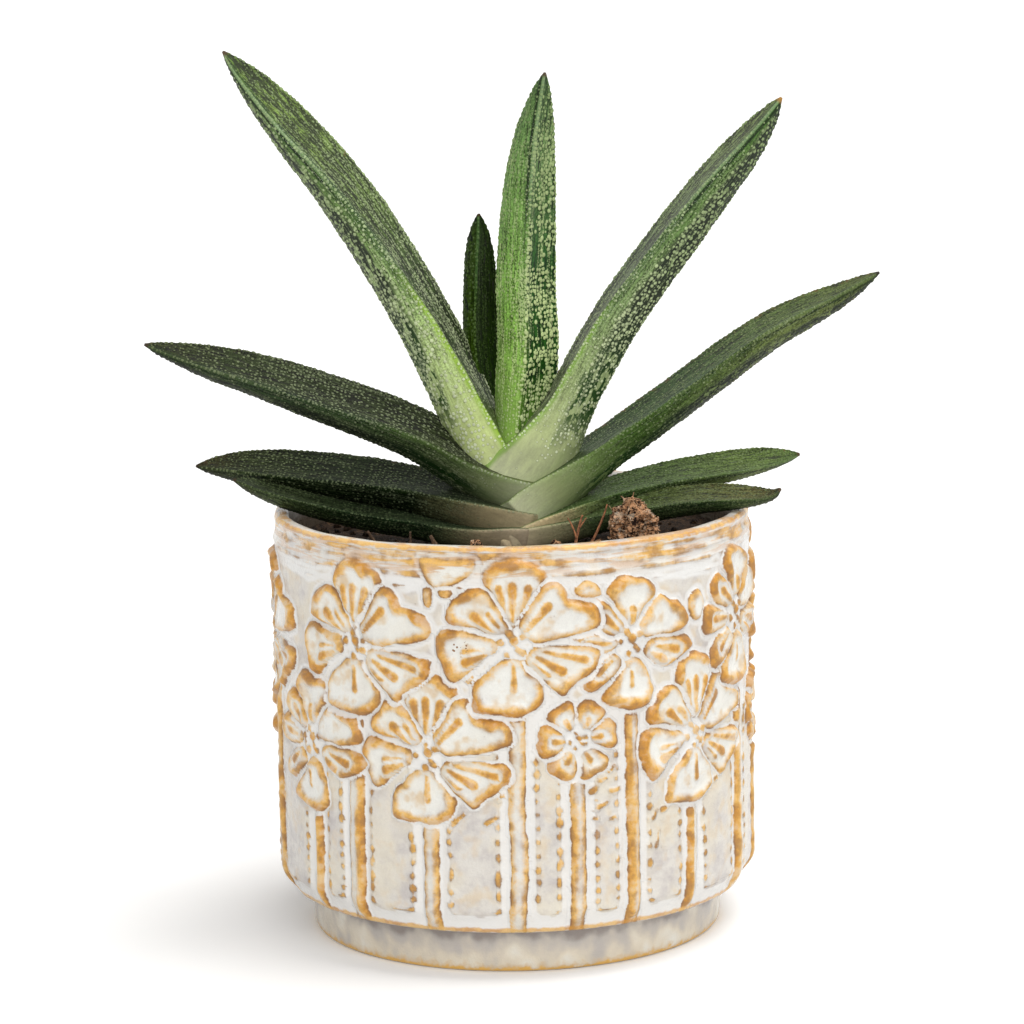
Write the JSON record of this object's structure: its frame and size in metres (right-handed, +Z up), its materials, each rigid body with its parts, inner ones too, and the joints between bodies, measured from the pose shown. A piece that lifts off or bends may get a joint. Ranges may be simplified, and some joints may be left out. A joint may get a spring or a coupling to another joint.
{
  "type": "potted gasteria",
  "caption": "Gasteria with long, warty, two-ranked leaves in a round glazed stoneware pot that has a raised flower ornament and a narrower foot.",
  "frame": {"origin": "centre of the flat face under the pot's foot", "axes": "+Z up along the pot's axis, +X along the leaf fan to the right as the plant's front is seen, -Y towards its front"},
  "size_m": [0.2158, 0.142, 0.2592],
  "materials": {
    "glaze": "reactive cream glaze that breaks to amber on the raised lines",
    "soil": "dark crumbly potting soil",
    "stem": "pale and fleshy",
    "leaf_light": "fleshy green with pale raised dots and dark blotches",
    "leaf_dark": "fleshy dark green with fine raised dots",
    "peat": "dry fibrous peat",
    "straw": "dry fibre and bark"
  },
  "bodies": {
    "root": {"pot": "glaze", "soil": "soil", "crown_stem": "stem", "leaf_01": "leaf_light", "leaf_02": "leaf_dark", "leaf_03": "leaf_light", "leaf_04": "leaf_light", "leaf_05": "leaf_dark", "leaf_06": "leaf_dark", "leaf_07": "leaf_dark", "leaf_08": "leaf_dark", "leaf_09": "leaf_dark", "leaf_10": "leaf_dark", "peat_clump": "peat", "crumb_1": "peat", "crumb_2": "peat", "crumb_3": "peat", "crumb_4": "peat", "crumb_5": "peat", "stalk": "straw", "twig": "straw", "chip_1": "straw", "chip_2": "straw", "chip_3": "straw"}
  },
  "joints": []
}
